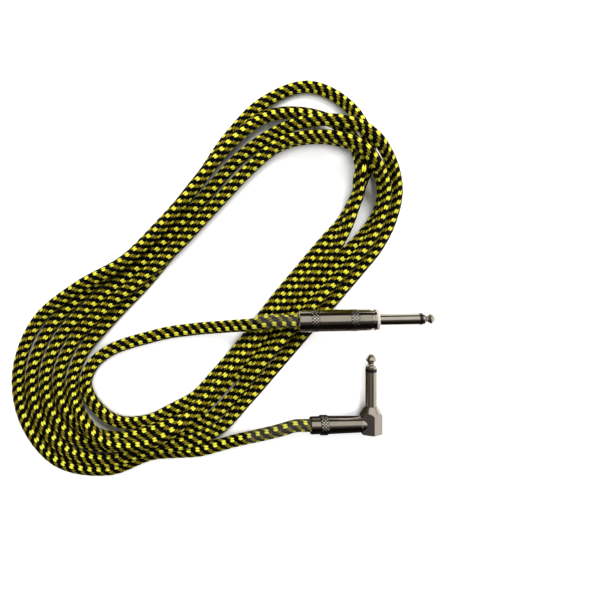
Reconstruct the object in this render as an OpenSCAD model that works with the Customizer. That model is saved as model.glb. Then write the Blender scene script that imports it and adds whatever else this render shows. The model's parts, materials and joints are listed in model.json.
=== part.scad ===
// Instrument cable: a braided cord wound in five turns that lies on the plane z = 0, with a
// straight plug on one end and a right-angle plug on the other. Each plug has a barrel that
// screws back over the cord and uncovers the soldered joints. Millimetres, Z up, origin under
// the middle of the two plugs.

/* [Cord] */
// Diameter of the braided cord
cord_d = 6.5; // [6.2:0.1:6.8]
// Space between two turns that lie side by side
lay_gap = 0.5; // [0.5:0.1:0.8]
// Diameter of the jacket under the braid
jacket_d = 5.4; // [5:0.1:5.8]
// Diameter of the insulated core wire
core_d = 1.7; // [1.4:0.1:1.9]
// Diameter of the twisted screen
screen_d = 1.6; // [1.2:0.1:1.8]
// Wall of the clear heat-shrink tube
shrink_wall = 0.35; // [0.25:0.05:0.5]
// Play between cord and heat-shrink tube
shrink_play = 0.05; // [0.03:0.01:0.1]

/* [Plug finger] */
// Diameter of the sleeve contact
sleeve_d = 6.35; // [6.2:0.05:6.5]
// Length of the sleeve contact ahead of the shoulder
sleeve_len = 21.3; // [19:0.1:23]
// Length of the insulating band between sleeve and tip
band_len = 1.8; // [1.2:0.1:2.4]
// Length of the tip contact
tip_len = 7.4; // [7:0.1:8.4]
// Diameter of the collar at the root of the tip
collar_d = 6; // [5.6:0.1:6.3]
// Length of that collar
collar_len = 0.9; // [0.6:0.1:1.2]
// Diameter of the waist that the socket's spring holds
waist_d = 3.5; // [3:0.1:4.2]
// Distance from the root of the tip to its waist
waist_at = 2.5; // [2.1:0.1:2.9]
// Diameter of the bulb ahead of the waist
bulb_d = 5.9; // [5.4:0.1:6.3]
// Distance from the root of the tip to its bulb
bulb_at = 4.4; // [4:0.1:4.8]
// Diameter at the straight plug's point
point_d = 1.2; // [0.8:0.1:2]
// Diameter at the right-angle plug's rounder point
round_point_d = 2.8; // [2:0.1:3.4]
// Diameter of the rod behind the tip
rod_d = 2.5; // [2:0.1:2.8]
// Diameter of the insulating tube round the rod
tube_d = 4; // [3.6:0.1:4.2]
// Play of one inner piece in the next
inner_play = 0.05; // [0.03:0.01:0.08]

/* [Straight plug] */
// Length of the barrel
barrel_len = 38.4; // [36:0.2:41]
// Wall of the barrel
barrel_wall = 0.85; // [0.6:0.05:1.1]
// Thickness of the barrel's rear wall
barrel_end = 2; // [1.5:0.1:2.5]
// Radius of the barrel's rear edge
barrel_round = 0.8; // [0.4:0.1:1.2]
// Width of each knurled band
knurl_len = 4.2; // [3:0.1:5.5]
// Distance from the barrel's rear to the rear band
knurl_rear = 6.6; // [4:0.1:9]
// Distance from the barrel's rear to the front band
knurl_front = 27.3; // [22:0.1:29]
// Width of the groove beside each knurled band
groove_w = 0.5; // [0.3:0.1:0.8]
// Depth of the groove beside each knurled band
groove_depth = 0.25; // [0.15:0.05:0.35]
// Thickness of the pale washer at the shoulder
washer_len = 1.6; // [1.2:0.1:2]
// Thickness of the flange behind the washer
flange_len = 1; // [0.8:0.1:1.4]
// Height of the flange over the barrel
flange_step = 0.2; // [0.1:0.05:0.5]
// Length of the neck between flange and barrel
neck_len = 1.3; // [1:0.1:1.8]
// Depth of the neck and the washer below the barrel
neck_step = 0.4; // [0.2:0.1:0.6]
// Diameter of the hub inside the washer
hub_d = 7; // [6.8:0.1:8]
// Length of the threaded bush
bush_len = 7.6; // [6:0.1:9]
// Play of the bush's thread in the barrel
thread_play = 0.15; // [0.1:0.01:0.2]
// Wall of the insulating liner
liner_wall = 0.55; // [0.4:0.05:0.7]
// Play between liner and ground clamp
liner_play = 0.25; // [0.15:0.05:0.4]
// Width of the ground tongue
tongue_w = 3.5; // [2.6:0.1:3.8]
// Thickness of the ground tongue and its clamp
tongue_t = 0.8; // [0.6:0.05:0.9]
// Length of the clamp round the jacket
clamp_len = 4; // [3:0.1:5]
// Distance from the barrel's rear to the end of the braid inside
braid_in = 6.3; // [5.5:0.1:7]
// Distance from the barrel's rear to the heat-shrink's end inside
shrink_in = 3.3; // [2.5:0.1:4]

/* [Right-angle plug] */
// Corner radius of the six-sided elbow
hex_r = 6.2; // [5.9:0.05:6.4]
// Length of the elbow's six-sided part, whose middle is on the barrel's axis
hex_len = 10.3; // [10:0.1:11.5]
// Length of the cone turned on the elbow's front
cone_len = 4.5; // [3.6:0.1:5]
// Radius of that cone at the shoulder
cone_r = 3.6; // [3.4:0.05:4.2]
// Width of the bevel round the elbow's far end
foot_bevel = 0.3; // [0.1:0.05:0.6]
// Length of this plug's sleeve contact ahead of the shoulder
arm_sleeve_len = 18.9; // [18:0.1:22]
// Length of this plug's tip contact
arm_tip_len = 8.2; // [7.4:0.1:8.6]
// Diameter of the rear stub of the sleeve
stub_d = 5.2; // [5:0.1:5.6]
// Length of the rear stub of the sleeve
stub_len = 5; // [3:0.1:5.5]
// Diameter of the collar between elbow and barrel
ring_d = 8.6; // [8.2:0.1:8.8]
// Length of the collar between elbow and barrel
ring_len = 0.6; // [0.4:0.1:1]
// Length of the threaded spigot
spigot_len = 7; // [5:0.1:8]
// Diameter of the spigot
spigot_d = 7.3; // [7:0.05:7.6]
// Length of the barrel
arm_len = 28; // [27:0.2:30]
// Diameter of the barrel's front
arm_front_d = 8.9; // [8.7:0.1:9.3]
// Wall of the barrel
arm_wall = 0.65; // [0.5:0.05:0.8]
// Length of the barrel's cone
arm_cone_len = 18.4; // [17:0.1:19.5]
// Length of the barrel's knurled band
arm_knurl_len = 4.4; // [3.5:0.1:5]
// Height of the knurled band over the barrel
arm_knurl_step = 0.35; // [0.2:0.05:0.5]
// Thickness of the barrel's rear wall
arm_end = 2; // [1.5:0.1:2.2]
// Wall of the insulating liner
arm_liner_wall = 0.4; // [0.3:0.05:0.5]
// Play round the liner
arm_liner_play = 0.1; // [0.08:0.01:0.15]
// Width of the ground tongue
arm_tongue_w = 2.4; // [2:0.1:2.6]
// Thickness of the ground tongue and its clamp
arm_tongue_t = 0.6; // [0.5:0.05:0.65]
// Length of the clamp round the jacket
arm_clamp_len = 3.5; // [2.5:0.1:4]
// Distance from the barrel's rear to the end of the braid inside
arm_braid_in = 6; // [5.5:0.1:6.5]
// Distance from the barrel's rear to the heat-shrink's end inside
arm_shrink_in = 3.4; // [2.6:0.1:3.6]

/* [Soldered joints] */
// Play between jacket and clamp
clamp_play = 0.1; // [0.05:0.01:0.15]
// Thickness of the tip lug
lug_t = 0.6; // [0.4:0.05:0.8]
// Width of the tip lug's tongue
lug_w = 2.6; // [2:0.1:3]
// Length of the tip lug's tongue
lug_len = 9.3; // [7:0.1:11]
// Diameter of the tip lug's eye
lug_d = 4.6; // [4.2:0.1:4.8]
// Distance from the axis to the tip lug's tongue
lug_off = 1.5; // [1.45:0.05:1.7]
// Thickness of the insulating washer behind the bush
rear_washer_t = 1.2; // [0.8:0.1:1.6]
// Diameter of the insulating washer behind the bush
rear_washer_d = 5.2; // [4.6:0.1:5.4]
// Length of the rod's riveted end
rivet_len = 0.6; // [0.4:0.1:1]
// Length of jacket ahead of the braid
jacket_show = 6.5; // [6:0.1:8]
// Diameter of the right-angle plug's contact pin
pin_d = 1.8; // [1.4:0.1:2]
// Length of the contact pin's flat end
pin_flat_len = 5.5; // [4:0.1:6]
// Thickness of the contact pin's flat end
pin_flat_t = 0.8; // [0.6:0.1:1]
// Radius of each drop of solder
solder_r = 1.2; // [1:0.05:1.3]

/* [Hidden] */
$fn = 64;

cord_r = cord_d / 2;
pitch = cord_d + lay_gap;
bore_r = tube_d / 2 + 2 * inner_play;
shrink_in_r = cord_r + shrink_play;
shrink_out_r = shrink_in_r + shrink_wall;
shrink_gap = 0.25;
clamp_in_r = jacket_d / 2 + clamp_play;
end_gap = 0.3;

// Straight plug, distances measured back from the shoulder.
clamp_r = clamp_in_r + tongue_t;
liner_in_r = max(norm([clamp_r, tongue_w / 2]) + liner_play, shrink_out_r + inner_play);
liner_r = liner_in_r + liner_wall;
barrel_bore_r = liner_r + thread_play;
barrel_r = barrel_bore_r + barrel_wall;
bush_r = barrel_bore_r - thread_play;
neck_r = barrel_r - neck_step;
flange_r = barrel_r + flange_step;
flange_at = washer_len;
neck_at = flange_at + flange_len;
barrel_at = neck_at + neck_len;
bush_end = barrel_at + bush_len;
barrel_rear = barrel_at + barrel_len;
braid_at = barrel_rear - braid_in;
shrink_at = barrel_rear - shrink_in;
jacket_at = braid_at - jacket_show;
clamp_at = braid_at - 1 - clamp_len;
liner_at = bush_end + 2.5;
liner_end = barrel_rear - barrel_end - end_gap;
lug_at = bush_end + rear_washer_t;
lug_end = lug_at + lug_len;
core_x = lug_off - core_d / 2 - inner_play;
screen_x = -clamp_in_r + screen_d / 2 + 2 * shrink_gap - 0.1;
tip_joint = lug_end - solder_r / 2;
ground_joint = jacket_at - 3.3;

// Right-angle plug, distances measured from the finger's axis along the barrel.
hex_flat = hex_r * cos(30);
elbow_drop = cone_len + hex_len / 2;
elbow_len = cone_len + hex_len;
arm_clamp_r = clamp_in_r + arm_tongue_t;
arm_liner_in_r = max(norm([arm_clamp_r, arm_tongue_w / 2]) + arm_liner_play,
    shrink_out_r + inner_play);
arm_liner_r = arm_liner_in_r + arm_liner_wall;
arm_bore_r = arm_liner_r + arm_liner_play;
arm_main_r = arm_bore_r + arm_wall;
arm_at = hex_flat + ring_len;
spigot_end = arm_at + spigot_len;
arm_rear = arm_at + arm_len;
arm_braid_at = arm_rear - arm_braid_in;
arm_shrink_at = arm_rear - arm_shrink_in;
arm_jacket_at = arm_braid_at - jacket_show + 0.5;
arm_clamp_at = arm_braid_at - 1 - arm_clamp_len;
arm_liner_at = spigot_end + 1.5;
arm_liner_end = arm_rear - arm_end - end_gap;
pin_at = rod_d / 2;
pin_end = spigot_end + 1 + pin_flat_len;
arm_core_x = pin_flat_t / 2 + core_d / 2 + inner_play;
arm_tip_joint = pin_end - solder_r - 0.6;
arm_ground_joint = arm_jacket_at - 2.6;

// Where the shoulders of the two plugs lie, and how the plugs are turned.
straight_pos = [5.9, 28.8, 17.5];
straight_yaw = 1;
angled_pos = [4.7, -19.95, 6.2];
angled_tilt = 5;

function unit(v) = v / norm(v);

// Points on the axis of each barrel, a given distance behind its plug's own zero.
function straight_at(b) = straight_pos - b * [cos(straight_yaw), sin(straight_yaw), 0];
function angled_at(s) = angled_pos + [-s * cos(angled_tilt), -elbow_drop, s * sin(angled_tilt)];

// The straight plug's lead leaves its barrel level, passes over the bundle and comes down
// inside the loops. Its last two points and the coil's first two are in one line.
straight_route = concat([straight_at(braid_at), straight_at(50), straight_at(56)],
    [[-62, 25.7, 15], [-67.3, 25.1, 12.5], [-78.3, 23.8, 8], [-89.5, 22.5, 4.5],
    [-95.1, 21.7, 3.25], [-103.4, 20.7, 3.25], [-111.7, 19.1, 3.25], [-117.2, 17.6, 3.25]]);
straight_shrink_route = [straight_at(shrink_at), straight_at(50), straight_at(56),
    straight_route[3]];

// The right-angle plug's lead comes down from its tilted barrel.
angled_route = concat([angled_at(arm_braid_at), angled_at(34.8), angled_at(42)],
    [[-44.1, -31.6, 9.7], [-51.1, -33.9, 8.3], [-57.1, -35.7, 6.8], [-63.1, -37.5, 5.3],
    [-71.1, -39.9, 3.7], [-79.1, -42.3, 3.25], [-90.1, -45.1, 3.25], [-100.1, -45.8, 3.25]]);
angled_shrink_route = [angled_at(arm_shrink_at), angled_at(34.8), angled_at(42),
    angled_route[3], angled_route[4], angled_route[5], angled_route[6]];

// One loop of the coil as stations on the table, anticlockwise from the left. After the place
// of a station come the six passes: how many pitches each lies outside the station, and how
// many pitches it is lifted where it rides over its neighbours.
stations = [
    [-171.5, -7.7, [-2.7, 0], [1.62, 0], [0.54, 0], [-0.54, 0], [-1.62, 0], [2.7, 0]],
    [-168.5, -21.7, [-2.7, 0], [1.62, 0], [0.54, 0], [-0.54, 0], [-1.62, 0.2], [2.7, 0]],
    [-157.5, -34.7, [-2.55, 0], [1.65, 0.12], [0.56, 0], [-0.54, 0.03], [-1.43, 0.95], [2.75, 0]],
    [-138.5, -41.2, [-1.87, 0], [1.13, 0.55], [0.23, 0], [-0.67, 0.59], [-0.6, 1.64], [2.04, 0]],
    [-116.5, -37.7, [-1.32, 0], [0.66, 0.78], [0, 0], [-0.66, 0.78], [-0.05, 1.62], [1.32, 0]],
    [-100.5, -33.7, [-1.74, 0], [0.93, 0.61], [0.05, 0], [-0.85, 0.62], [-0.6, 1.69]],
    [-85, -27.2, [-1.95, 0], [1.15, 0], [0.1, 0], [-0.93, 0], [-1.38, 1.02]],
    [-70, -11.7, [-1.93, 0], [1.18, 0], [0.18, 0.1], [-0.9, 0], [-1.32, 0.97]],
    [-52.5, 8.3, [-2, 0], [1.17, 0], [0, 0.85], [-0.7, 0], [-1.35, 0.84]],
    [-36.5, 27.3, [-2.2, 0], [1.2, 0], [0.12, 0.7], [-0.68, 0], [-1.45, 0.7]],
    [-22.5, 43.3, [-2.28, 0], [1.2, 0], [0.18, 0.68], [-0.6, 0], [-1.46, 0.67]],
    [-7.5, 60.3, [-2.35, 0], [1.15, 0], [0.25, 0.7], [-0.52, 0], [-1.5, 0.67]],
    [3.5, 72.3, [-2.4, 0], [0.98, 0], [0.05, 0.92], [-0.45, 0], [-2.13, 1.02]],
    [10, 85.3, [-2.3, 0], [0.95, 0], [-0.1, 1.04], [-0.15, 0], [-2.33, 1.08]],
    [12.5, 97.8, [-2.1, 0], [0.92, 0.25], [-0.15, 1.15], [-0.08, 0], [-2.25, 1.2]],
    [9, 109.3, [-1.35, 0.4], [1, 0.85], [-0.2, 1.65], [0.08, 0], [-1.92, 1.45]],
    [5, 114.8, [-0.4, 0.97], [1.05, 1.45], [-0.26, 2.15], [0.17, 0], [-1.42, 1.67]],
    [0, 119.8, [0.6, 1.02], [1.08, 2], [-0.2, 2.33], [0.05, 0], [-0.75, 1.4]],
    [-6, 124.3, [1.65, 0.65], [1.09, 2], [-0.27, 2.2], [0.05, 0], [0.1, 1.1]],
    [-13, 126.8, [2.95, 0.05], [1, 2.1], [-0.28, 2.1], [0, 0], [0.76, 1.02]],
    [-26.5, 128.3, [4, 0], [1, 1.5], [-0.18, 1.4], [-0.05, 0], [1.65, 0.5]],
    [-45, 124.8, [3.48, 0], [0.92, 0.28], [-0.12, 1.03], [-0.1, 0], [2.35, 0.32]],
    [-59, 113.8, [2.93, 0], [1.15, 0], [-0.12, 1.02], [0, 0], [2.4, 0.97]],
    [-81, 91.3, [2.15, 0], [1.05, 0], [-0.15, 1.02], [0, 0], [2.05, 1.03]],
    [-102.5, 68.3, [2.03, 0], [1.02, 0], [-0.15, 1.02], [0, 0], [1.75, 1]],
    [-122, 48.8, [2.03, 0], [1.03, 0], [0.05, 0.97], [-0.35, 0], [1.95, 1.03]],
    [-143.5, 32.8, [1.95, 0], [0.9, 0], [-0.12, 0.57], [-1, 0], [2.45, 0.95]],
    [-164.5, 14.3, [1.62, 0], [0.54, 0], [-0.54, 0.05], [-1.62, 0], [2.67, 0.3]]];
coil_start = [[-117.2, 17.6], [-128.2, 14.6], [-140, 9.9], [-149.1, 2.2]];
coil_end = [-100.1, -45.8];

// The coil's tube has six sides with one of them down, so that it stands on flats.
coil_sides = 6;
coil_rest = cord_r * cos(180 / coil_sides);
count = len(stations);
function outward(i) = let(a = stations[(i + count - 1) % count], b = stations[(i + 1) % count],
    t = unit([b.x - a.x, b.y - a.y])) [t.y, -t.x];
function knot(i, pass) = let(s = stations[i], lay = s[2 + pass],
    p = [s.x, s.y] + outward(i) * pitch * lay[0]) [p.x, p.y, coil_rest + pitch * lay[1]];
coil_route = concat([for (p = coil_start) [p.x, p.y, coil_rest]],
    [for (pass = [0:4]) for (i = [0:count - 1]) knot(i, pass)], [for (i = [0:4]) knot(i, 5)],
    [[coil_end.x, coil_end.y, coil_rest]]);

// A tube swept along points: a ring at each, square to the bend's middle line.
function heading(p, i) = i == 0 ? unit(p[1] - p[0])
    : i == len(p) - 1 ? unit(p[i] - p[i - 1])
    : unit(unit(p[i] - p[i - 1]) + unit(p[i + 1] - p[i]));
function ring(p, i, r, n) = let(t = heading(p, i), side = unit(cross(t, [0, 0, 1])),
    up = cross(side, t))
    [for (k = [0:n - 1]) p[i] + r * cos(k * 360 / n) * side + r * sin(k * 360 / n) * up];
function wall_faces(rings, n, first) = [for (i = [0:rings - 2]) for (k = [0:n - 1])
    let(a = first + i * n + k, b = first + i * n + (k + 1) % n)
    each [[a, b, b + n], [a, b + n, a + n]]];
function flipped(faces) = [for (f = faces) [f[0], f[2], f[1]]];

module swept(p, r, n) {
    last = (len(p) - 1) * n;
    polyhedron([for (i = [0:len(p) - 1]) each ring(p, i, r, n)],
        concat(wall_faces(len(p), n, 0),
            [for (k = [1:n - 2]) [0, k + 1, k]],
            [for (k = [1:n - 2]) [last, last + k, last + k + 1]]));
}

module swept_pipe(p, r_in, r_out, n) {
    inner = len(p) * n;
    last = inner - n;
    polyhedron(concat([for (i = [0:len(p) - 1]) each ring(p, i, r_out, n)],
            [for (i = [0:len(p) - 1]) each ring(p, i, r_in, n)]),
        concat(wall_faces(len(p), n, 0), flipped(wall_faces(len(p), n, inner)),
            [for (k = [0:n - 1]) let(j = (k + 1) % n)
                each [[k, inner + k, j], [j, inner + k, inner + j]]],
            [for (k = [0:n - 1]) let(j = (k + 1) % n)
                each [[last + k, last + j, inner + last + k],
                [last + j, inner + last + j, inner + last + k]]]));
}

// Least gap of the coil to itself: from two points on each run to every run farther off along
// the cord than a few diameters, less the cord's diameter.
function to_run(q, a, b) = let(d = b - a, t = min(1, max(0, (q - a) * d / (d * d))))
    norm(q - a - t * d);
function least_gap(p) = min([for (i = [0:len(p) - 2]) for (f = [0, 0.5])
    let(q = p[i] + f * (p[i + 1] - p[i])) each [for (j = [i + 3:1:len(p) - 2])
        if (norm(p[j] - q) < 60) to_run(q, p[j], p[j + 1])]]) - cord_d;

// Frames: along a finger towards its tip, and along a barrel towards the cord.
module straight_out() translate(straight_pos) rotate([0, 0, straight_yaw]) rotate([0, 90, 0])
    children();
module straight_back() translate(straight_pos) rotate([0, 0, straight_yaw]) rotate([0, -90, 0])
    children();
module angled_out() translate(angled_pos) rotate([0, angled_tilt, 0]) rotate([-90, 0, 0])
    children();
module angled_back() translate(angled_pos) rotate([0, angled_tilt, 0])
    translate([0, -elbow_drop, 0]) rotate([0, -90, 0]) children();

module turned(profile) rotate_extrude() polygon(profile);
module pipe(r_in, r_out, from, to)
    turned([[r_in, from], [r_out, from], [r_out, to], [r_in, to]]);
module strip(x, w, t, from, to) translate([x, -w / 2, from]) cube([t, w, to - from]);
module rod(x, r, from, to) translate([x, 0, from]) cylinder(h = to - from, r = r);

// The tip contact's profile: collar, waist, bulb and a nose that closes on the point.
function blend(a, b, t) = a + (b - a) * (1 - cos(180 * t)) / 2;
module tip(end_d, back, sleeve, length) {
    root = sleeve + band_len;
    k = length / tip_len;
    nose = k * (tip_len - bulb_at);
    turned(concat([[0, -back], [rod_d / 2, -back], [rod_d / 2, root], [collar_d / 2, root]],
        [for (t = [0:0.2:1]) [blend(collar_d, waist_d, t) / 2,
            root + k * (collar_len + t * (waist_at - collar_len))]],
        [for (t = [0.2:0.2:1]) [blend(waist_d, bulb_d, t) / 2,
            root + k * (waist_at + t * (bulb_at - waist_at))]],
        [for (t = [0.2:0.2:1]) [(bulb_d - (bulb_d - end_d) * pow(t, 1.6)) / 2,
            root + k * bulb_at + t * (nose - end_d / 6)]],
        [[end_d / 4, root + length - end_d / 40], [0, root + length]]));
}
module band(back, sleeve) turned([[rod_d / 2 + inner_play, -back], [tube_d / 2, -back],
    [tube_d / 2, sleeve], [sleeve_d / 2, sleeve], [sleeve_d / 2, sleeve + band_len],
    [rod_d / 2 + inner_play, sleeve + band_len]]);

// A strap from the bush to a clamp that is bent round the jacket and open on the far side.
module ground_clamp(from, at, length, w, t) {
    strip(-clamp_in_r - t, w, t, from, at + length);
    difference() {
        pipe(clamp_in_r, clamp_in_r + t, at, at + length);
        translate([0, -jacket_d / 4, at - 1]) cube([jacket_d, jacket_d / 2, length + 2]);
    }
}

// A drop of solder on a flat face at x, round the end of a wire.
module solder(face, wire_x, wire_r, at, over) difference() {
    cut = 5 * solder_r;
    translate([wire_x, 0, at]) sphere(solder_r);
    translate([over ? face : face - cut, -cut / 2, at - cut / 2]) cube(cut);
    rod(wire_x, wire_r, at, at + 4);
}

// Straight plug.
module straight_tip() color([0.82, 0.8, 0.74]) straight_out()
    tip(point_d, lug_at + lug_t + rivet_len, sleeve_len, tip_len);
module straight_band() color([0.08, 0.08, 0.09]) straight_out() band(bush_end, sleeve_len);
module straight_sleeve() color([0.82, 0.8, 0.74]) straight_out()
    turned([[bore_r, -bush_end], [bush_r, -bush_end], [bush_r, -barrel_at], [neck_r, -barrel_at],
        [neck_r, -neck_at], [flange_r, -neck_at], [flange_r, -flange_at], [hub_d / 2, -flange_at],
        [hub_d / 2, 0], [sleeve_d / 2, 0], [sleeve_d / 2, sleeve_len], [bore_r, sleeve_len]]);
module straight_washer() color([0.93, 0.92, 0.88]) straight_back()
    pipe(hub_d / 2 + inner_play, neck_r, 0, washer_len);
module straight_rear_washer() color([0.5, 0.25, 0.12]) straight_back()
    pipe(rod_d / 2 + inner_play, rear_washer_d / 2, bush_end, lug_at);
module straight_tip_lug() color([0.8, 0.75, 0.6]) straight_back() {
    pipe(rod_d / 2 + inner_play, lug_d / 2, lug_at, lug_at + lug_t);
    strip(lug_off, lug_w, lug_t, lug_at, lug_end);
}
module straight_ground_clamp() color([0.8, 0.75, 0.6]) straight_back()
    ground_clamp(bush_end, clamp_at, clamp_len, tongue_w, tongue_t);
module straight_tip_solder() color([0.7, 0.7, 0.72]) straight_back()
    solder(lug_off, core_x, core_d / 2, tip_joint, true);
module straight_ground_solder() color([0.7, 0.7, 0.72]) straight_back()
    solder(-clamp_in_r, screen_x, screen_d / 2, ground_joint, false);
module straight_core_wire() color([0.75, 0.1, 0.08]) straight_back()
    rod(core_x, core_d / 2, tip_joint, jacket_at);
module straight_screen() color([0.72, 0.45, 0.25]) straight_back()
    rod(screen_x, screen_d / 2, ground_joint, jacket_at);
module straight_jacket() color([0.06, 0.06, 0.06]) straight_back()
    rod(0, jacket_d / 2, jacket_at, braid_at);
module straight_shrink() color([0.8, 0.78, 0.7, 0.5])
    swept_pipe(straight_shrink_route, shrink_in_r, shrink_out_r, 12);
module straight_liner() color([0.85, 0.83, 0.76]) straight_back()
    pipe(liner_in_r, liner_r, liner_at, liner_end);

// The barrel: grooves beside its knurled bands, a rounded rear edge and a wall behind with the
// hole for the cord.
function band_grooves(rear, at, length, r) = let(a = rear - at, b = a - length)
    [[r, b - groove_w], [r - groove_depth, b - groove_w], [r - groove_depth, b], [r, b],
    [r, a], [r - groove_depth, a], [r - groove_depth, a + groove_w], [r, a + groove_w]];
module straight_barrel() color([0.75, 0.7, 0.52]) straight_back() {
    hole_r = shrink_out_r + shrink_gap;
    wall_at = barrel_rear - barrel_end;
    turned(concat([[barrel_bore_r, barrel_at], [barrel_r - groove_depth, barrel_at],
        [barrel_r, barrel_at + groove_depth]],
        band_grooves(barrel_rear, knurl_front, knurl_len, barrel_r),
        band_grooves(barrel_rear, knurl_rear, knurl_len, barrel_r),
        [for (a = [0:15:90]) [barrel_r - barrel_round * (1 - cos(a)),
            barrel_rear - barrel_round * (1 - sin(a))]],
        [[hole_r, barrel_rear], [hole_r, wall_at], [barrel_bore_r, wall_at]]));
}

// Right-angle plug.
module angled_tip() color([0.82, 0.8, 0.74]) angled_out()
    tip(round_point_d, elbow_drop + rod_d / 2, arm_sleeve_len, arm_tip_len);
module angled_band() color([0.08, 0.08, 0.09]) angled_out() band(stub_len, arm_sleeve_len);
module angled_sleeve() color([0.82, 0.8, 0.74]) angled_out()
    turned([[bore_r, -stub_len], [stub_d / 2, -stub_len], [stub_d / 2, 0], [sleeve_d / 2, 0],
        [sleeve_d / 2, arm_sleeve_len], [bore_r, arm_sleeve_len]]);

// The elbow: a six-sided bar with a corner up and down, whose front is turned to a cone that
// dies out on the flats before it reaches the corners.
module angled_elbow() color([0.42, 0.38, 0.34]) {
    difference() {
        union() {
            angled_out() intersection() {
                rotate([0, 0, 90]) translate([0, 0, -elbow_len]) linear_extrude(elbow_len)
                    circle(hex_r, $fn = 6);
                turned([[0, -elbow_len], [hex_r - foot_bevel, -elbow_len],
                    [hex_r, -elbow_len + foot_bevel], [hex_r, -cone_len], [cone_r, 0], [0, 0]]);
            }
            angled_back() {
                rod(0, ring_d / 2, 0, arm_at);
                rod(0, spigot_d / 2, 0, spigot_end);
            }
        }
        angled_out() {
            rod(0, stub_d / 2 + inner_play, -stub_len, 1);
            rod(0, bore_r, -elbow_drop - bore_r, 1);
        }
        angled_back() rod(0, bore_r, 0, spigot_end + 1);
    }
}
module angled_bush() color([0.93, 0.92, 0.88]) angled_back()
    turned([[pin_d / 2 + inner_play, bore_r + 0.2], [bore_r - inner_play, bore_r + 0.2],
        [bore_r - inner_play, spigot_end], [clamp_in_r - 0.3, spigot_end],
        [clamp_in_r - 0.3, spigot_end + 1], [pin_d / 2 + inner_play, spigot_end + 1]]);
module angled_tip_lug() color([0.8, 0.75, 0.6]) angled_back() {
    rod(0, pin_d / 2, pin_at, spigot_end + 1);
    strip(-pin_flat_t / 2, lug_w - 0.2, pin_flat_t, spigot_end + 1, pin_end);
}
module angled_ground_clamp() color([0.8, 0.75, 0.6]) angled_back()
    ground_clamp(spigot_end, arm_clamp_at, arm_clamp_len, arm_tongue_w, arm_tongue_t);
module angled_tip_solder() color([0.7, 0.7, 0.72]) angled_back()
    solder(pin_flat_t / 2, arm_core_x, core_d / 2, arm_tip_joint, false);
module angled_ground_solder() color([0.7, 0.7, 0.72]) angled_back()
    solder(-clamp_in_r, screen_x, screen_d / 2, arm_ground_joint, false);
module angled_core_wire() color([0.75, 0.1, 0.08]) angled_back()
    rod(arm_core_x, core_d / 2, arm_tip_joint, arm_jacket_at);
module angled_screen() color([0.72, 0.45, 0.25]) angled_back()
    rod(screen_x, screen_d / 2, arm_ground_joint, arm_jacket_at);
module angled_jacket() color([0.06, 0.06, 0.06]) angled_back()
    rod(0, jacket_d / 2, arm_jacket_at, arm_braid_at);
module angled_shrink() color([0.8, 0.78, 0.7, 0.5])
    swept_pipe(angled_shrink_route, shrink_in_r, shrink_out_r, 12);
module angled_liner() color([0.85, 0.83, 0.76]) angled_back()
    pipe(arm_liner_in_r, arm_liner_r, arm_liner_at, arm_liner_end);

// The barrel: a long cone, the raised knurled band and a plain rear.
module angled_barrel() color([0.75, 0.7, 0.52]) angled_back() {
    hole_r = shrink_out_r + shrink_gap;
    front_r = spigot_d / 2 + thread_play;
    knurl_at = arm_at + arm_cone_len;
    knurl_end = knurl_at + arm_knurl_len;
    knurl_r = arm_main_r + arm_knurl_step;
    turned([[front_r, arm_at], [arm_front_d / 2 - 0.15, arm_at], [arm_front_d / 2, arm_at + 0.3],
        [arm_main_r, knurl_at], [knurl_r, knurl_at + 0.2], [knurl_r, knurl_end - 0.2],
        [arm_main_r - 0.1, knurl_end], [arm_main_r - 0.1, arm_rear - 0.5],
        [arm_main_r - 0.25, arm_rear - 0.15], [arm_main_r - 0.6, arm_rear],
        [hole_r, arm_rear], [hole_r, arm_rear - arm_end], [arm_bore_r, arm_rear - arm_end],
        [arm_bore_r, spigot_end + 1], [front_r, spigot_end + 1]]);
}

// Cord.
module straight_lead() color([0.55, 0.5, 0.12]) swept(straight_route, cord_r, 12);
module angled_lead() color([0.55, 0.5, 0.12]) swept(angled_route, cord_r, 12);
module coil() {
    echo("least gap of the coil to itself, mm", least_gap(coil_route));
    color([0.55, 0.5, 0.12]) swept(coil_route, cord_r, coil_sides);
}

straight_tip();
straight_band();
straight_sleeve();
straight_washer();
straight_rear_washer();
straight_tip_lug();
straight_ground_clamp();
straight_tip_solder();
straight_ground_solder();
straight_core_wire();
straight_screen();
straight_jacket();
straight_shrink();
straight_liner();
straight_barrel();
angled_tip();
angled_band();
angled_sleeve();
angled_elbow();
angled_bush();
angled_tip_lug();
angled_ground_clamp();
angled_tip_solder();
angled_ground_solder();
angled_core_wire();
angled_screen();
angled_jacket();
angled_shrink();
angled_liner();
angled_barrel();
straight_lead();
coil();
angled_lead();
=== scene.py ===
# Instrument cable: braided cord in five turns, straight plug, right-angle plug.
# The scene is in metres, Z up; the cable's sizes and points are typed in mm.
import json
import math

import bpy
import numpy as np
from mathutils import Euler, Matrix, Vector


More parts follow.
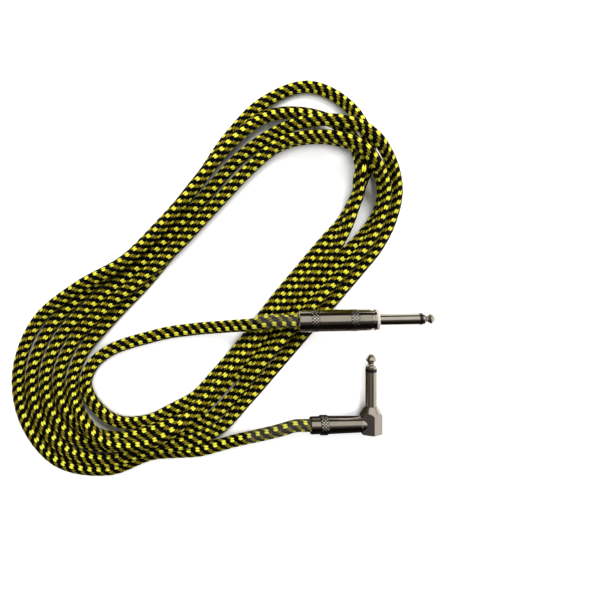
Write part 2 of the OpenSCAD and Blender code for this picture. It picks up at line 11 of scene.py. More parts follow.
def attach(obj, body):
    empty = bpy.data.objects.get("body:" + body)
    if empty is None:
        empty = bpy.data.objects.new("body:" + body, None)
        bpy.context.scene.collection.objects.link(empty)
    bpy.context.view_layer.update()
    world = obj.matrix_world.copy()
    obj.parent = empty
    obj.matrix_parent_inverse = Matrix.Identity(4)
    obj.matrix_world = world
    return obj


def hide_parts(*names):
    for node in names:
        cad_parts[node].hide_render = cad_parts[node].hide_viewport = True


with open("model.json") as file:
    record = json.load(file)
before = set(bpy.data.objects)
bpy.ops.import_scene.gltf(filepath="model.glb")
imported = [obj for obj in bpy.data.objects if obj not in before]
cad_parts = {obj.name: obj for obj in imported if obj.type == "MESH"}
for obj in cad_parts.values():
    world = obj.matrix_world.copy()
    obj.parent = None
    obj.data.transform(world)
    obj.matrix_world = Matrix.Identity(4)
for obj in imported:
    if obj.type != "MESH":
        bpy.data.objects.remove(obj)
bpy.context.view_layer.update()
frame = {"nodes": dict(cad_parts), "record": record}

nodes = frame["nodes"]
mm = 0.001
scene = bpy.context.scene
print("frame loaded,", len(nodes), "nodes")

# camera straight above the loops, a normal lens, shifted so that the plugs stay in the frame
cameraSetup = {
    "place": (-65.7, 61.46, 320),
    "widthOnTable": 336,
    "sensor": 36,
    "shift": (0.095, -0.07),  # shares of the picture's width
}
cameraData = bpy.data.cameras.new("camera")
cameraData.sensor_width = cameraSetup["sensor"]
cameraData.lens = cameraSetup["sensor"] * cameraSetup["place"][2] / cameraSetup["widthOnTable"]
cameraData.shift_x, cameraData.shift_y = cameraSetup["shift"]
cameraData.clip_start = 0.01
camera = bpy.data.objects.new("camera", cameraData)
camera.location = Vector(cameraSetup["place"]) * mm
scene.collection.objects.link(camera)
scene.camera = camera

# plugs: each shoulder's place, how the plug is turned and where its braid ends, as in the solids
straightPlug = {"shoulder": (5.9, 28.8, 17.5), "yaw": 1, "braidAt": 36}
angledPlug = {"shoulder": (4.7, -19.95, 6.2), "tilt": 5, "drop": 9.65, "braidAt": 27.97}

straightFrame = (Matrix.Translation(Vector(straightPlug["shoulder"]) * mm)
    @ Euler((0, 0, math.radians(straightPlug["yaw"]))).to_matrix().to_4x4()
    @ Euler((0, math.radians(-90), 0)).to_matrix().to_4x4())
angledBody = (Matrix.Translation(Vector(angledPlug["shoulder"]) * mm)
    @ Euler((0, math.radians(angledPlug["tilt"]), 0)).to_matrix().to_4x4())
angledFrame = (angledBody @ Matrix.Translation((0, -angledPlug["drop"] * mm, 0))
    @ Euler((0, math.radians(-90), 0)).to_matrix().to_4x4())


def onAxis(plugFrame, back):
    # a point on a plug's axis, in mm back from its shoulder
    return tuple(v / mm for v in plugFrame @ Vector((0, 0, back * mm)))


# cord: leads from point to point, and five turns between them laid from one loop of stations
cord = {
    "diameter": 6.5,  # with its braid
    "layGap": 0.5,  # air between strands that lie side by side
    "ringStep": 0.75,
    "sides": 56,
    "proud": 0.2,  # how far the floats stand over the diameter
    "floatRelief": 0.24,  # and how deep the gaps between them are
    "twistStart": 0.07,  # turns; the braid turns slowly back and forth along the cord
    "twistPerMetre": 0.004,
    "twistSwing": 0.085,
    "swingStart": 0.17,  # metres
    "swingLength": 0.575,
}
straightLead = [onAxis(straightFrame, straightPlug["braidAt"]), onAxis(straightFrame, 50),
    onAxis(straightFrame, 56), (-62, 25.7, 15), (-67.3, 25.1, 12.5), (-78.3, 23.8, 8),
    (-89.5, 22.5, 4.5), (-95.1, 21.7, 3.25), (-103.4, 20.7, 3.25), (-111.7, 19.1, 3.25)]
angledLead = [(-90.1, -45.1, 3.25), (-79.1, -42.3, 3.25), (-71.1, -39.9, 3.7),
    (-63.1, -37.5, 5.3), (-57.1, -35.7, 6.8), (-51.1, -33.9, 8.3), (-44.1, -31.6, 9.7),
    onAxis(angledFrame, 42), onAxis(angledFrame, 34.8), onAxis(angledFrame, angledPlug["braidAt"])]
coilStart = [(-117.2, 17.6), (-128.2, 14.6), (-140, 9.9), (-149.1, 2.2)]
coilEnd = (-100.1, -45.8)
# each row: x, y of a station, then for six passes the pitches outside it and the pitches lifted
stations = [
    (-171.5, -7.7, (-2.7, 0), (1.62, 0), (0.54, 0), (-0.54, 0), (-1.62, 0), (2.7, 0)),
    (-168.5, -21.7, (-2.7, 0), (1.62, 0), (0.54, 0), (-0.54, 0), (-1.62, 0.2), (2.7, 0)),
    (-157.5, -34.7, (-2.55, 0), (1.65, 0.12), (0.56, 0), (-0.54, 0.03), (-1.43, 0.95), (2.75, 0)),
    (-138.5, -41.2, (-1.87, 0), (1.13, 0.55), (0.23, 0), (-0.67, 0.59), (-0.6, 1.64), (2.04, 0)),
    (-116.5, -37.7, (-1.32, 0), (0.66, 0.78), (0, 0), (-0.66, 0.78), (-0.05, 1.62), (1.32, 0)),
    (-100.5, -33.7, (-1.74, 0), (0.93, 0.61), (0.05, 0), (-0.85, 0.62), (-0.6, 1.69)),
    (-85, -27.2, (-1.95, 0), (1.15, 0), (0.1, 0), (-0.93, 0), (-1.38, 1.02)),
    (-70, -11.7, (-1.93, 0), (1.18, 0), (0.18, 0.1), (-0.9, 0), (-1.32, 0.97)),
    (-52.5, 8.3, (-2, 0), (1.17, 0), (0, 0.85), (-0.7, 0), (-1.35, 0.84)),
    (-36.5, 27.3, (-2.2, 0), (1.2, 0), (0.12, 0.7), (-0.68, 0), (-1.45, 0.7)),
    (-22.5, 43.3, (-2.28, 0), (1.2, 0), (0.18, 0.68), (-0.6, 0), (-1.46, 0.67)),
    (-7.5, 60.3, (-2.35, 0), (1.15, 0), (0.25, 0.7), (-0.52, 0), (-1.5, 0.67)),
    (3.5, 72.3, (-2.4, 0), (0.98, 0), (0.05, 0.92), (-0.45, 0), (-2.13, 1.02)),
    (10, 85.3, (-2.3, 0), (0.95, 0), (-0.1, 1.04), (-0.15, 0), (-2.33, 1.08)),
    (12.5, 97.8, (-2.1, 0), (0.92, 0.25), (-0.15, 1.15), (-0.08, 0), (-2.25, 1.2)),
    (9, 109.3, (-1.35, 0.4), (1, 0.85), (-0.2, 1.65), (0.08, 0), (-1.92, 1.45)),
    (5, 114.8, (-0.4, 0.97), (1.05, 1.45), (-0.26, 2.15), (0.17, 0), (-1.42, 1.67)),
    (0, 119.8, (0.6, 1.02), (1.08, 2), (-0.2, 2.33), (0.05, 0), (-0.75, 1.4)),
    (-6, 124.3, (1.65, 0.65), (1.09, 2), (-0.27, 2.2), (0.05, 0), (0.1, 1.1)),
    (-13, 126.8, (2.95, 0.05), (1, 2.1), (-0.28, 2.1), (0, 0), (0.76, 1.02)),
    (-26.5, 128.3, (4, 0), (1, 1.5), (-0.18, 1.4), (-0.05, 0), (1.65, 0.5)),
    (-45, 124.8, (3.48, 0), (0.92, 0.28), (-0.12, 1.03), (-0.1, 0), (2.35, 0.32)),
    (-59, 113.8, (2.93, 0), (1.15, 0), (-0.12, 1.02), (0, 0), (2.4, 0.97)),
    (-81, 91.3, (2.15, 0), (1.05, 0), (-0.15, 1.02), (0, 0), (2.05, 1.03)),
    (-102.5, 68.3, (2.03, 0), (1.02, 0), (-0.15, 1.02), (0, 0), (1.75, 1)),
    (-122, 48.8, (2.03, 0), (1.03, 0), (0.05, 0.97), (-0.35, 0), (1.95, 1.03)),
    (-143.5, 32.8, (1.95, 0), (0.9, 0), (-0.12, 0.57), (-1, 0), (2.45, 0.95)),
    (-164.5, 14.3, (1.62, 0), (0.54, 0), (-0.54, 0.05), (-1.62, 0), (2.67, 0.3)),
]


def knot(index, turn):
    before, after = stations[index - 1], stations[(index + 1) % len(stations)]
    along = Vector((after[0] - before[0], after[1] - before[1])).normalized()
    outside, lifted = stations[index][2 + turn]
    pitch = cord["diameter"] + cord["layGap"]
    return (stations[index][0] + along.y * pitch * outside,
        stations[index][1] - along.x * pitch * outside,
        cord["diameter"] / 2 + pitch * lifted)


onTable = cord["diameter"] / 2
knots = (straightLead + [(x, y, onTable) for x, y in coilStart]
    + [knot(i, turn) for turn in range(5) for i in range(len(stations))]
    + [knot(i, 5) for i in range(5)] + [(*coilEnd, onTable)] + angledLead)


def smoothPath(points, step):
    # cubic through every point, whose slope leans to the nearer neighbour
    p = np.array(points, float)
    chord = np.diff(p, axis=0)
    size = np.linalg.norm(chord, axis=1)
    slope = np.empty_like(p)
    a, b = size[:-1, None], size[1:, None]
    slope[1:-1] = (chord[:-1] / a * b + chord[1:] / b * a) / (a + b)
    slope[0], slope[-1] = chord[0] / size[0], chord[-1] / size[-1]
    rows = []
    for i, length in enumerate(size):
        count = max(1, round(length / step))
        t = (np.arange(count) / count)[:, None]
        rows.append((2 * t**3 - 3 * t**2 + 1) * p[i] + (t**3 - 2 * t**2 + t) * length * slope[i]
            + (3 * t**2 - 2 * t**3) * p[i + 1] + (t**3 - t**2) * length * slope[i + 1])
    rows.append(p[-1:])
    return np.vstack(rows)


def ringFrames(path):
    along = np.gradient(path, axis=0)
    along /= np.linalg.norm(along, axis=1)[:, None]
    side = np.cross(along, (0, 0, 1))
    side /= np.linalg.norm(side, axis=1)[:, None]
    return along, side, np.cross(side, along)


def meshObject(name, points, faces, body, uv):
    mesh = bpy.data.meshes.new(name)
    mesh.from_pydata([tuple(p) for p in points], [], faces)
    mesh.uv_layers.new(name="lay").data.foreach_set("uv", np.asarray(uv, "f").ravel())
    mesh.shade_smooth()
    made = bpy.data.objects.new(name, mesh)
    scene.collection.objects.link(made)
    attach(made, body)
    return made


def sweptTube(name, path, radius, sides, body, turn=None, caps=True):
    # radius and turn may differ from ring to ring; uv is the share round and the metres along
    count = len(path)
    along, side, up = ringFrames(path)
    run = np.concatenate([[0], np.cumsum(np.linalg.norm(np.diff(path, axis=0), axis=1))])
    turn = np.zeros(count) if turn is None else turn
    angle = 2 * math.pi * np.arange(sides) / sides + turn[:, None]
    radius = np.broadcast_to(radius, (count, sides))[..., None]
    ring = (path[:, None] + radius * (np.cos(angle)[..., None] * side[:, None]
        + np.sin(angle)[..., None] * up[:, None])) * mm
    ring[..., 2] = np.maximum(ring[..., 2], 0)  # pressed flat where it lies on the table
    i, k = np.meshgrid(np.arange(count - 1), np.arange(sides), indexing="ij")
    j = (k + 1) % sides
    quads = np.stack([i * sides + k, (i + 1) * sides + k, (i + 1) * sides + j, i * sides + j], -1)
    u = np.stack([k, k, k + 1, k + 1], -1) / sides
    v = run[np.stack([i, i + 1, i + 1, i], -1)] * mm
    faces = quads.reshape(-1, 4).tolist()
    uv = np.stack([u, v], -1).reshape(-1, 2)
    if caps:
        last = (count - 1) * sides
        faces += [list(range(sides)), list(range(last + sides - 1, last - 1, -1))]
        uv = np.vstack([uv, np.zeros((2 * sides, 2))])
    return meshObject(name, ring.reshape(-1, 3), faces, body, uv)


# the braid: eight columns of floats round the cord, and in each column a yellow float and a
# black one in every row, so that bands of floats wind round it and gain three rows in a turn
braid = {
    "columns": 8,
    "rowLength": 5.1,
    "step": 0.375,  # rows that each column is ahead of the one before
    "leanBright": -0.04,  # rows that a float slants across its column
    "leanShadedColumn": 0.26,
    "yarnLean": 0.4,
    "yarnStep": 0.02,  # rows between the two yarns of a bright float
    "yarnRound": 0.6,
}

cordPath = smoothPath(knots, cord["ringStep"])
cordPath[:, 2] = np.maximum(cordPath[:, 2], cord["diameter"] / 2)
cordRun = np.concatenate([[0], np.cumsum(np.linalg.norm(np.diff(cordPath, axis=0), axis=1))]) * mm
swing = np.sin(2 * math.pi * (cordRun - cord["swingStart"]) / cord["swingLength"])
cordTurn = 2 * math.pi * (cord["twistStart"] + cord["twistPerMetre"] * cordRun
    + cord["twistSwing"] * swing)
column = np.arange(cord["sides"]) / cord["sides"] * braid["columns"]
isBright = np.floor(column) % 2 == 0
across = column % 1 - 0.5
row = (cordRun[:, None] / (braid["rowLength"] * mm) + braid["step"] * np.floor(column)
    + np.where(isBright, braid["leanBright"], braid["leanShadedColumn"]) * across
    + np.where(isBright, braid["yarnStep"], 0) * np.sign(across))
inFloat = (row * 2 + 0.5) % 1 - 0.5
# every float swells in two yarns between the ones that cross it, and the yarns lean to the
# right and to the left by turns
yarnSide = np.where(isBright, braid["yarnLean"], -braid["yarnLean"])
yarns = np.abs(np.sin(2 * math.pi * (across + yarnSide * inFloat / 2)))
swell = np.cos(math.pi * inFloat) ** 0.5 * (0.5 + 0.5 * yarns ** braid["yarnRound"])
cordRadius = cord["diameter"] / 2 + cord["proud"] - cord["floatRelief"] * (1 - swell)
cordPiece = sweptTube("cord", cordPath, cordRadius, cord["sides"], "cable", cordTurn)
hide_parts("straight_lead", "coil", "angled_lead")


# materials
def linear(hexText):
    # sRGB hex to the linear values that Blender mixes
    values = [int(hexText[i:i + 2], 16) / 255 for i in (0, 2, 4)]
    return tuple(v / 12.92 if v <= 0.04045 else ((v + 0.055) / 1.055) ** 2.4 for v in values) + (1,)


def addNode(tree, kind, settings=None, inputs=None, stops=()):
    # inputs are values or sockets to link from; stops are a colour ramp's places and colours
    made = tree.nodes.new("ShaderNode" + kind)
    for name, value in (settings or {}).items():
        setattr(made, name, value)
    for key, value in (inputs or {}).items():
        if isinstance(value, bpy.types.NodeSocket):
            tree.links.new(value, made.inputs[key])
        else:
            made.inputs[key].default_value = value
    marks = made.color_ramp.elements if stops else ()
    while len(marks) < len(stops):
        marks.new(0.5)
    for mark, (place, colour) in zip(marks, stops):
        mark.position, mark.color = place, linear(colour)
    return made


def layNodes(tree, made, rows):
    # each row: name, kind, settings, then the inputs in order, as an earlier row's name or a value
    for name, kind, settings, *inputs in rows:
        wanted = {i: made.get(v, v) if isinstance(v, str) else v for i, v in enumerate(inputs)}
        made[name] = addNode(tree, kind, settings, wanted).outputs[0]
    return made


def newMaterial(name, **sockets):
    material = bpy.data.materials.new(name)
    material.use_nodes = True
    tree = material.node_tree
    shader = tree.nodes["Principled BSDF"]
    for key, value in sockets.items():
        socket = shader.inputs[key.replace("_", " ")]
        socket.default_value = linear(value) if isinstance(value, str) else value
    return material, tree, shader


# polyester braid, woven tight over the jacket: dull black yarns and glossy yellow ones, whose
# floats get a painted highlight in the columns that lean to the light and painted shade in the
# columns that lean away
braidLook = {
    # one yellow painted twice: a lit copy that ends in a painted highlight, and a painted shaded
    # copy
    "bright": [(0.05, "4A3C04"), (0.4, "D2C020"), (0.72, "FFFA50")],
    "shadedYellow": [(0.05, "181202"), (0.5, "524206"), (0.92, "928420")],
    # black yarns: grain, and a painted sheen on their crests at the lighter end
    "black": [(0.35, "020304"), (0.7, "101416")],
    "floatHalf": 0.04,  # half a float's length between its yarns, in rows
    "plyNotch": 0.215,  # and what it gains in the middle of each yarn
    "squareEnds": 0.15,  # how much a float's corners are cut back
    "edge": (1.12, 0.9),  # where a float's edge starts and is full
    "fibreMm": 0.35,
    "fibreStretch": 4,
    "fibresRound": 40,
    "fibres": 7,  # a yarn has hundreds, too fine to show, so they are drawn this coarse
}
# what makes a float lighter or darker: random tone, grain and fibres, and painted light: painted
# shade towards its ends and across it, and a painted highlight on its yarns
braidTone = {
    "middle": 0.62, "paintedShadeTowardsEdge": -0.5, "byChance": 0.22, "fibre": 0.3, "paintedHighlightOnYarn": 0.7,
    "slope": -0.4, "shade": -0.42, "strand": 0.1,
}
braidBump = {"mm": 0.12, "strength": 0.6, "ply": 0.6, "strand": 0.12, "float": 0.25}


def braidedPolyester():
    look, tone, relief = braidLook, braidTone, braidBump
    material, tree, shader = newMaterial("braidedPolyester", Roughness=0.75,
        Specular_IOR_Level=0.08)
    lay = addNode(tree, "UVMap", {"uv_map": "lay"}).outputs["UV"]
    split = addNode(tree, "SeparateXYZ", None, {0: lay})
    made = {"around": split.outputs["X"], "along": split.outputs["Y"], "lay": lay}
    plus, times = {"operation": "ADD"}, {"operation": "MULTIPLY"}
    timesPlus, over = {"operation": "MULTIPLY_ADD"}, {"operation": "DIVIDE"}
    size, fraction = {"operation": "ABSOLUTE"}, {"operation": "FRACT"}
    whole, sine = {"operation": "FLOOR"}, {"operation": "SINE"}
    layNodes(tree, made, [
        ("column", "Math", times, "around", braid["columns"]),
        ("inColumn", "Math", fraction, "column"),
        ("columnId", "Math", whole, "column"),
        ("isOlive", "Math", {"operation": "FLOORED_MODULO"}, "columnId", 2.0),
        ("middle", "Math", plus, "inColumn", -0.5),
        ("rows", "Math", over, "along", braid["rowLength"] * mm),
        ("stepped", "Math", timesPlus, "columnId", braid["step"], "rows"),
        ("lean", "Math", timesPlus, "isOlive", braid["leanShadedColumn"] - braid["leanBright"],
            braid["leanBright"]),
        ("leant", "Math", timesPlus, "middle", "lean", "stepped"),
        ("whichYarn", "Math", {"operation": "SIGN"}, "middle"),
        ("yarnStep", "Math", timesPlus, "isOlive", -braid["yarnStep"], braid["yarnStep"]),
        ("row", "Math", timesPlus, "whichYarn", "yarnStep", "leant"),
        ("inRow", "Math", fraction, "row"),
        ("rowId", "Math", whole, "row"),
        ("fromFloat", "Math", plus, "inRow", -0.5),
        ("farFromFloat", "Math", size, "fromFloat"),
        # two yarns side by side in each float, leaning, with a notch where they part
        ("yarnSide", "Math", timesPlus, "isOlive", -2 * braid["yarnLean"], braid["yarnLean"]),
        ("yarnPlace", "Math", timesPlus, "yarnSide", "fromFloat", "middle"),
        ("yarnTurn", "Math", times, "yarnPlace", 2 * math.pi),
        ("yarnWave", "Math", sine, "yarnTurn"),
        ("yarn", "Math", size, "yarnWave"),
        ("ply", "Math", {"operation": "POWER"}, "yarn", braid["yarnRound"]),
        ("half", "Math", timesPlus, "ply", look["plyNotch"], look["floatHalf"]),
        # fibres run along the yarns
        ("fibreTurn", "Math", times, "yarnPlace", 2 * math.pi * look["fibres"]),
        ("fibreWave", "Math", sine, "fibreTurn"),
        ("lengthwise", "Math", over, "farFromFloat", "half"),
        ("sideways", "Math", size, "middle"),
        ("sideways2", "Math", times, "sideways", 2.0),
        ("sideways6", "Math", {"operation": "POWER"}, "sideways2", 6.0),
        ("edge", "Math", timesPlus, "sideways6", look["squareEnds"], "lengthwise"),
    ])
    address = addNode(tree, "CombineXYZ", None, {0: made["columnId"], 1: made["rowId"]})
    chance = addNode(tree, "TexWhiteNoise", {"noise_dimensions": "2D"},
        {"Vector": address.outputs[0]}).outputs["Value"]
    fibreLength = look["fibreMm"] * look["fibreStretch"] * mm
    stretch = addNode(tree, "Mapping", None,
        {"Vector": lay, "Scale": (look["fibresRound"], 1 / fibreLength, 1)}).outputs[0]
    fibre = addNode(tree, "TexNoise", None,
        {"Vector": stretch, "Scale": 1.0, "Detail": 2.0}).outputs["Fac"]
    outside, inside = look["edge"]
    isFloat = addNode(tree, "MapRange", {"interpolation_type": "SMOOTHSTEP"},
        {"Value": made["edge"], "From Min": outside, "From Max": inside}).outputs[0]
    made.update(chance=chance, fibre=fibre, isFloat=isFloat)
    layNodes(tree, made, [
        # painted shade towards each float's ends and sides
        ("body", "Math", times, "edge", "edge"),
        ("rounded", "Math", timesPlus, "body", tone["paintedShadeTowardsEdge"], tone["middle"]),
        ("varied", "Math", timesPlus, "chance", tone["byChance"], "rounded"),
        ("fibred", "Math", timesPlus, "fibre", tone["fibre"], "varied"),
        # painted highlight on the crests of the yarns
        ("plied", "Math", timesPlus, "ply", tone["paintedHighlightOnYarn"], "fibred"),
        # painted shade across each column, darker on one side, and darker overall
        ("slope", "Math", timesPlus, "middle", tone["slope"], tone["shade"]),
        ("sloped", "Math", plus, "plied", "slope"),
        ("tone", "Math", timesPlus, "fibreWave", tone["strand"], "sloped"),
        # grain and a painted sheen on the crests of the black yarns
        ("blackTone", "Math", times, "fibre", "ply"),
        ("ridge", "Math", timesPlus, "ply", relief["ply"], "fibre"),
        ("fine", "Math", timesPlus, "fibreWave", relief["strand"], "ridge"),
        ("height", "Math", timesPlus, "isFloat", relief["float"], "fine"),
    ])
    bright, shadedYellow, black = (
        addNode(tree, "ValToRGB", None, {"Fac": made[by]}, look[name]).outputs["Color"]
        for name, by in (("bright", "tone"), ("shadedYellow", "tone"), ("black", "blackTone")))
    mixed = {"data_type": "RGBA"}
    # painted lit yellow in one column, painted shaded yellow in the next
    yellow = addNode(tree, "Mix", mixed, {0: made["isOlive"], 6: bright, 7: shadedYellow}).outputs[2]
    colour = addNode(tree, "Mix", mixed, {0: isFloat, 6: black, 7: yellow}).outputs[2]
    tree.links.new(colour, shader.inputs["Base Color"])
    bump = addNode(tree, "Bump", None, {"Strength": relief["strength"],
        "Distance": relief["mm"] * mm, "Height": made["height"]}).outputs[0]
    tree.links.new(bump, shader.inputs["Normal"])
    return material


cordPiece.data.materials.append(braidedPolyester())


def speckled(name, colours, grainMm, roughness, bumpMm=0.0, **sockets):
    # one finish with a fine grain: colour and roughness wander with it, and the bump follows it
    material, tree, shader = newMaterial(name, **sockets)
    where = addNode(tree, "TexCoord").outputs["Object"]
    grain = addNode(tree, "TexNoise", None, {"Vector": where, "Scale": 1 / (grainMm * mm),
        "Detail": 4.0, "Roughness": 0.6}).outputs["Fac"]
    low, high = 0.3, 0.7  # the noise lies mostly between these
    colour = addNode(tree, "ValToRGB", None, {"Fac": grain},
        [(low, colours[0]), (high, colours[1])]).outputs["Color"]
    tree.links.new(colour, shader.inputs["Base Color"])
    rough = addNode(tree, "MapRange", None, {"Value": grain, "From Min": low, "From Max": high,
        "To Min": roughness[0], "To Max": roughness[1]}).outputs[0]
    tree.links.new(rough, shader.inputs["Roughness"])
    if bumpMm:
        bump = addNode(tree, "Bump", None, {"Strength": 0.5, "Distance": bumpMm * mm,
            "Height": grain}).outputs[0]
        tree.links.new(bump, shader.inputs["Normal"])
    return material


finishes = {
    # turned brass with bright nickel over it: mirror-like, with faint clouds of handling
    "nickel": speckled("nickelPlatedBrass", ("B7AFA0", "BEB6A8"), 6, (0.1, 0.13), Metallic=1.0),
    # drawn shell with the same plate a little darker: long clean reflections
    "nickel_shell": speckled("nickelPlatedShell", ("A0988A", "A8A092"), 6, (0.11, 0.14),
        Metallic=1.0),
    # zinc die casting with a duller plate: broad soft highlights over a sandy skin
    "cast_elbow": speckled("platedZincCasting", ("B2A89C", "BEB4A8"), 0.6, (0.16, 0.22), 0.015,
        Metallic=1.0),
    # moulded nylon: black rings with a small sharp gloss
    "black_insulator": speckled("mouldedNylonBlack", ("060607", "0E0E10"), 0.6, (0.25, 0.35), 0.01),
    # unfilled moulded nylon: milky, light goes in a little way
    "ivory_insulator": speckled("mouldedNylonIvory", ("DDD9CC", "F1EEE4"), 1.2, (0.4, 0.55), 0.02,
        Subsurface_Weight=0.1, Subsurface_Scale=0.001),
    # pressed paper fibre: dull brown with a matted grain
    "brown_insulator": speckled("pressedFibre", ("3E2110", "5E3318"), 0.4, (0.6, 0.8), 0.04),
    # stamped brass dipped in tin: soft grey-yellow shine, uneven
    "tinned_brass": speckled("tinnedBrass", ("A89E7E", "C9C2A8"), 1.5, (0.25, 0.4), Metallic=1.0),
    # lead-free solder set in air: dull grey, slightly frosted
    "solder": speckled("leadFreeSolder", ("8E9094", "B6B8BB"), 0.8, (0.3, 0.5), 0.03,
        Metallic=1.0),
    # extruded polyethylene: smooth waxy white
    "core_insulation": speckled("polyethyleneInsulation", ("D8D4C8", "F0EDE4"), 1.0, (0.3, 0.4)),
    # twisted bare copper: fine strands that glint one by one
    "copper": speckled("twistedCopper", ("9A5A30", "D08A58"), 0.3, (0.3, 0.45), 0.05,
        Metallic=1.0),
    # extruded rubber: matt black
    "jacket": speckled("rubberJacket", ("08080A", "141416"), 0.5, (0.6, 0.75), 0.02),
}
slotOf = {part["node"]: part["material_slot"] for part in frame["record"]["subparts"]}
for name, piece in nodes.items():
    finish = finishes.get(slotOf[name])
    if finish:
        piece.data.materials.clear()
        piece.data.materials.append(finish)

# knurling rolled into the plate, coloured by its height: painted shade in the grooves and a painted
# highlight on the points; real diamonds are about 1.2 mm apart, drawn at 1.8 so that they show
knurlShadeAndHighlight = [(0.08, "141210"), (0.3, "7E776C"), (0.55, "E0DACE")]
knurledNickel, tree, shader = newMaterial("knurledNickelPlate", Metallic=1.0, Roughness=0.16)
peakHeight = addNode(tree, "Attribute", {"attribute_name": "peak"}).outputs["Fac"]
# the height picks painted shade in the grooves and a painted highlight on the points
colour = addNode(tree, "ValToRGB", None, {"Fac": peakHeight}, knurlShadeAndHighlight).outputs["Color"]
tree.links.new(colour, shader.inputs["Base Color"])

# relief cut round the plugs: diamond knurling on the barrels, and the threads they run on;
# start and length are mm back along the barrel, low and high are over the solid's radius
straightKnurl = {"frame": straightFrame, "length": 4.2, "radius": 5.803, "body": "straight_barrel",
    "slot": "nickel_shell", "pitch": 1.8, "diamonds": 20, "low": 0.01, "high": 0.2}
thread = {"body": "cable", "pitch": 1.0, "diamonds": 0, "low": -0.03, "high": 0.12}
reliefs = {
    "straightFrontKnurl": {**straightKnurl, "start": 10.8},
    "straightRearKnurl": {**straightKnurl, "start": 31.5},
    "angledKnurl": {"frame": angledFrame, "start": 24.57, "length": 4.0, "radius": 5.206,
        "body": "angled_barrel", "slot": "nickel_shell", "pitch": 1.8, "diamonds": 18,
        "low": 0.01, "high": 0.3},
    "bushThread": {**thread, "frame": straightFrame, "start": 4.0, "length": 7.4,
        "radius": 4.803, "slot": "nickel"},
    "spigotThread": {**thread, "frame": angledFrame, "start": 6.1, "length": 6.7,
        "radius": 3.65, "slot": "cast_elbow"},
}
ringsPerPitch, sidesPerRidge, threadSides = 8, 6, 96
for name, cut in reliefs.items():
    rows = int(cut["length"] / cut["pitch"] * ringsPerPitch)
    sides = cut["diamonds"] * sidesPerRidge or threadSides
    back = np.linspace(0, cut["length"], rows + 1)[:, None] / cut["pitch"]
    share = np.arange(sides)[None] / sides
    # a thread is one ridge that winds; knurling is the lower of two sets of ridges that cross
    peak = 1 - np.abs((back + share * (cut["diamonds"] or 1)) % 1 * 2 - 1)
    if cut["diamonds"]:
        peak = np.minimum(peak, 1 - np.abs((back - share * cut["diamonds"]) % 1 * 2 - 1))
    peak[[0, -1]] = 0
    radius = cut["radius"] + (cut["low"] + (cut["high"] - cut["low"]) * peak)
    path = [onAxis(cut["frame"], cut["start"] + cut["length"] * i / rows) for i in range(rows + 1)]
    relief = sweptTube(name, np.array(path), radius, sides, cut["body"], caps=False)
    relief.data.materials.append(knurledNickel if cut["diamonds"] else finishes[cut["slot"]])
    heights = relief.data.attributes.new("peak", "FLOAT", "POINT")
    heights.data.foreach_set("value", peak.astype("f").ravel())
print("finishes, knurling and threads done")

# clear heat-shrink tube over the braid behind each barrel: thin polyolefin, greyish where it
# is seen through, with a soft gloss and ends that close in
shrink = {
    "outside": 3.56,
    "sides": 40,
    "step": 0.8,
    "closing": (0.25, 0.1, 0.03),
    "straightStart": 39,
    "angledStart": 30.6,
}
clearTube, tree, shader = newMaterial("polyolefinHeatShrink", Base_Color="8C8A84", Alpha=0.16,
    Roughness=0.12, IOR=1.5, Coat_Weight=0.3)


def shrinkTube(name, points, node):
    path = smoothPath(points, shrink["step"])
    radius = np.full(len(path), shrink["outside"])
    radius[:3] -= shrink["closing"]
    radius[-3:] -= shrink["closing"][::-1]
    piece = sweptTube(name, path, radius[:, None], shrink["sides"], "cable", caps=False)
    piece.data.materials.append(clearTube)
    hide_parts(node)


shrinkTube("straightHeatShrink",
    [onAxis(straightFrame, shrink["straightStart"]), *straightLead[1:4]], "straight_shrink")
shrinkTube("angledHeatShrink",
    [onAxis(angledFrame, shrink["angledStart"]), *angledLead[-2:2:-1]], "angled_shrink")
print("heat-shrink done")


def seenDirectly(tree):
    # 1 for rays from the camera, from a reflection or through something clear
    seen = addNode(tree, "LightPath").outputs
    larger = {"operation": "MAXIMUM"}
    glow = addNode(tree, "Math", larger, {0: seen["Is Camera Ray"], 1: seen["Is Glossy Ray"]})
    return addNode(tree, "Math", larger,
        {0: glow.outputs[0], 1: seen["Is Transmission Ray"]}).outputs[0]


def stagePlane(name, corners, material):
    mesh = bpy.data.meshes.new(name)
    mesh.from_pydata(corners, [], [(0, 1, 2, 3)])
    mesh.materials.append(material)
    plane = bpy.data.objects.new(name, mesh)
    scene.collection.objects.link(plane)
    return plane


# floor: matt paint, pale; white in the camera, keeps the shadows, and has painted shade between
# cords
floorLook = {
    "reach": 4,
    "level": -0.0001,  # metres, just under the cord
    "colour": "E8E8E8",
    "glow": 0.76,  # with the lamps' light it comes to white
    "gap": 16,  # mm; where cords are nearer than this, painted shade darkens the floor between them
    "openness": (0.36, 0.62),
}
floorPaint, tree, shader = newMaterial("paintedFloor", Base_Color=floorLook["colour"],
    Roughness=0.9)
# painted shade: the white glow dims where cords close the floor in
openness = addNode(tree, "AmbientOcclusion", {"samples": 8},
    {"Distance": floorLook["gap"] * mm}).outputs["AO"]
openness = addNode(tree, "MapRange", {"interpolation_type": "SMOOTHSTEP"}, {"Value": openness,
    "From Min": floorLook["openness"][0], "From Max": floorLook["openness"][1]}).outputs[0]
glow = addNode(tree, "Math", {"operation": "MULTIPLY"},
    {0: seenDirectly(tree), 1: openness}).outputs[0]
glow = addNode(tree, "Math", {"operation": "MULTIPLY"},
    {0: glow, 1: floorLook["glow"]}).outputs[0]
shader.inputs["Emission Color"].default_value = (1, 1, 1, 1)
tree.links.new(glow, shader.inputs["Emission Strength"])
stagePlane("floor", [(x * floorLook["reach"], y * floorLook["reach"], floorLook["level"])
    for x, y in ((-1, -1), (1, -1), (1, 1), (-1, 1))], floorPaint)

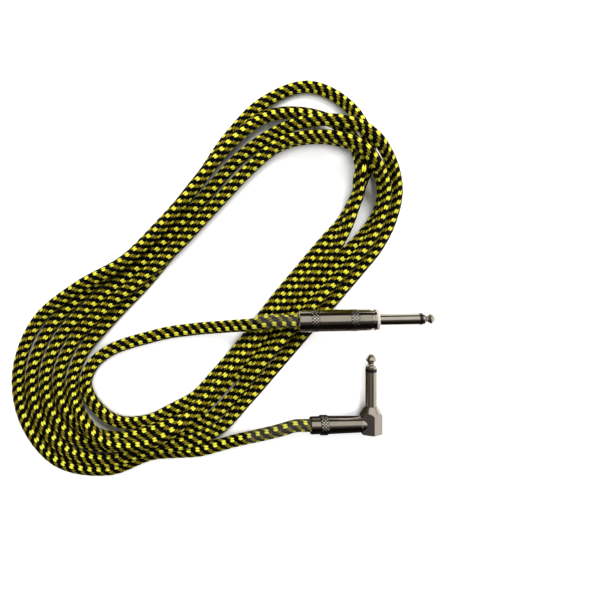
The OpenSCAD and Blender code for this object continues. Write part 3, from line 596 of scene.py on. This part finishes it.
# flags: cloths that stand out of the view, seen only in the metal, as when plate is lit
flags = {
    # name: what it spans in x, in y and in z, and how light it is
    "backFlag": ((-1.5, 1.5), (0.95, 0.95), (0.03, 0.6), 0.03),
    "frontFlag": ((-1.5, 0.35), (-0.4, -0.4), (0, 0.62), 0.01),
    "frontCloth": ((-1.5, 0.35), (-0.4, -0.035), (0.0005, 0.0005), 0.04),
    "sideCloth": ((-0.06, 0), (-0.03, 0.008), (0.0004, 0.0004), 0.06),
    "leftFlag": ((-0.8, -0.8), (-0.4, 0.95), (0, 0.9), 0.12),
    "strip": ((-0.5, -0.28), (-0.9, 0.02), (1.45, 1.45), 0.6),
    "overhead": ((-1.5, 1.2), (-2.2, 0.02), (1.5, 1.5), 0.3),
}
clothColour = "FFEAE0"
overheadStops = [(0.3, "505050"), (0.6, "787878"), (0.85, "AAAAAA"), (1, "FFFFFF")]
for name, ((x0, x1), (y0, y1), (z0, z1), tone) in flags.items():
    corners = ((x0, y0, z0), (x1, y0, z0), (x1, y1, z1), (x0, y1, z1)) if x0 != x1 else (
        (x0, y0, z0), (x0, y1, z0), (x0, y1, z1), (x0, y0, z1))
    cloth, tree, shader = newMaterial(name + "Cloth", Base_Color="000000",
        Specular_IOR_Level=0.0, Emission_Color=clothColour, Emission_Strength=tone)
    if name == "overhead":  # this one darkens towards the far side
        place = addNode(tree, "TexCoord").outputs["Generated"]
        place = addNode(tree, "SeparateXYZ", None, {0: place}).outputs["Y"]
        shade = addNode(tree, "ValToRGB", None, {"Fac": place}, overheadStops).outputs["Color"]
        tree.links.new(shade, shader.inputs["Emission Color"])
    flag = stagePlane(name, corners, cloth)
    flag.visible_camera = flag.visible_diffuse = flag.visible_shadow = False
    flag.visible_transmission = False

# room and lamps: the room looks white, and lights the cable less than that
roomLight = 0.22
world = bpy.data.worlds.new("studio")
world.use_nodes = True
scene.world = world
tree = world.node_tree
level = addNode(tree, "MapRange", None,
    {"Value": seenDirectly(tree), "To Min": roomLight, "To Max": 1.0}).outputs[0]
tree.links.new(level, tree.nodes["Background"].inputs["Strength"])
tree.nodes["Background"].inputs["Color"].default_value = (1, 1, 1, 1)

lamps = {
    "key": {"place": (0.3, 0.7, 0.85), "size": 0.35, "watts": 10.0},
    "fill": {"place": (-0.7, 0.1, 0.8), "size": 0.9, "watts": 2.5},
}
aim = Vector((-0.08, 0.05, 0))
for name, lamp in lamps.items():
    data = bpy.data.lights.new(name, "AREA")
    data.size, data.energy = lamp["size"], lamp["watts"]
    light = bpy.data.objects.new(name, data)
    light.location = lamp["place"]
    light.rotation_euler = (aim - light.location).to_track_quat("-Z", "Y").to_euler()
    light.visible_glossy = False  # the flags shape the reflections
    scene.collection.objects.link(light)
scene.view_settings.view_transform = "Standard"
print("floor, flags and lamps done")
